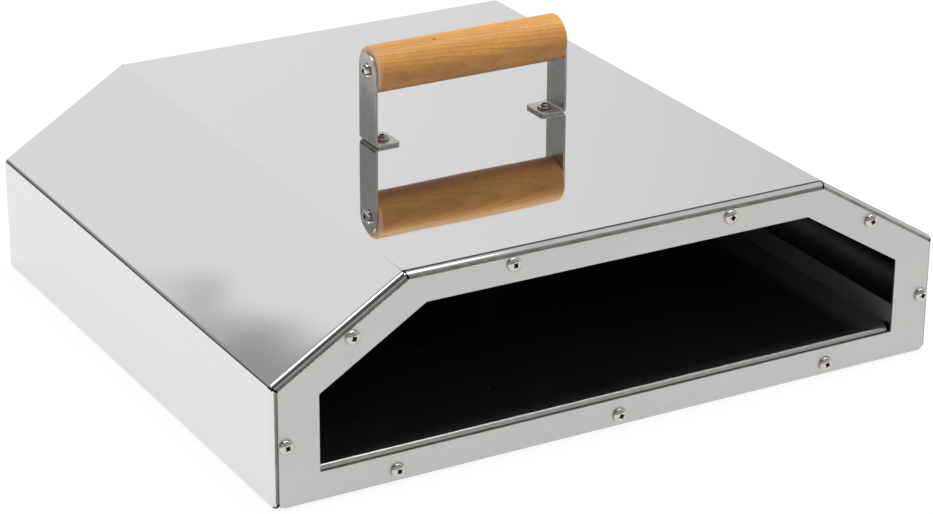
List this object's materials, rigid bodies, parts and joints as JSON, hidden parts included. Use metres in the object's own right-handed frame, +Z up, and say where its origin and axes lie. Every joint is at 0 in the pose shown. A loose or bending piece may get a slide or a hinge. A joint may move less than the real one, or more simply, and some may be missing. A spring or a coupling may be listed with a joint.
{
  "type": "barbecue pizza oven",
  "caption": "Open-fronted stainless steel pizza oven box with sloping roof edges, a raised floor tray and a wooden carrying handle, for standing on a barbecue.",
  "frame": {"origin": "centre of the underside, on the surface that the oven stands on", "axes": "+X to the right seen from the front, +Y from the open front to the back, +Z up"},
  "size_m": [0.4, 0.3574, 0.1684],
  "materials": {
    "polished_steel": "mirror-polished stainless steel",
    "satin_steel": "satin stainless steel",
    "dark_steel": "glossy steel that looks dark inside the oven",
    "strap_steel": "dull grey stainless steel",
    "screw_steel": "polished nickel-coloured steel",
    "zinc_steel": "zinc-plated steel",
    "beech": "oiled beech"
  },
  "bodies": {
    "root": {"outer_shell": "polished_steel", "base_frame": "satin_steel", "front_frame": "satin_steel", "back_panel": "satin_steel", "floor_tray": "dark_steel", "front_screw_bottom_middle": "screw_steel", "front_screw_bottom_right": "screw_steel", "front_screw_bottom_left": "screw_steel", "front_screw_side_right": "screw_steel", "front_screw_side_left": "screw_steel", "front_screw_slope_right": "screw_steel", "front_screw_slope_left": "screw_steel", "front_screw_roof_right": "screw_steel", "front_screw_roof_left": "screw_steel", "front_nut_bottom_middle": "zinc_steel", "front_nut_bottom_right": "zinc_steel", "front_nut_bottom_left": "zinc_steel", "front_nut_side_right": "zinc_steel", "front_nut_side_left": "zinc_steel", "front_nut_slope_right": "zinc_steel", "front_nut_slope_left": "zinc_steel", "front_nut_roof_right": "zinc_steel", "front_nut_roof_left": "zinc_steel", "back_screw_bottom_middle": "screw_steel", "back_screw_bottom_right": "screw_steel", "back_screw_bottom_left": "screw_steel", "back_screw_side_right": "screw_steel", "back_screw_side_left": "screw_steel", "back_screw_slope_right": "screw_steel", "back_screw_slope_left": "screw_steel", "back_screw_roof_right": "screw_steel", "back_screw_roof_left": "screw_steel", "back_nut_bottom_middle": "zinc_steel", "back_nut_bottom_right": "zinc_steel", "back_nut_bottom_left": "zinc_steel", "back_nut_side_right": "zinc_steel", "back_nut_side_left": "zinc_steel", "back_nut_slope_right": "zinc_steel", "back_nut_slope_left": "zinc_steel", "back_nut_roof_right": "zinc_steel", "back_nut_roof_left": "zinc_steel", "handle_grip": "beech", "handle_bracket_right": "strap_steel", "grip_screw_right": "screw_steel", "foot_screw_right": "screw_steel", "foot_washer_right": "zinc_steel", "foot_nut_right": "zinc_steel", "handle_bracket_left": "strap_steel", "grip_screw_left": "screw_steel", "foot_screw_left": "screw_steel", "foot_washer_left": "zinc_steel", "foot_nut_left": "zinc_steel"}
  },
  "joints": []
}
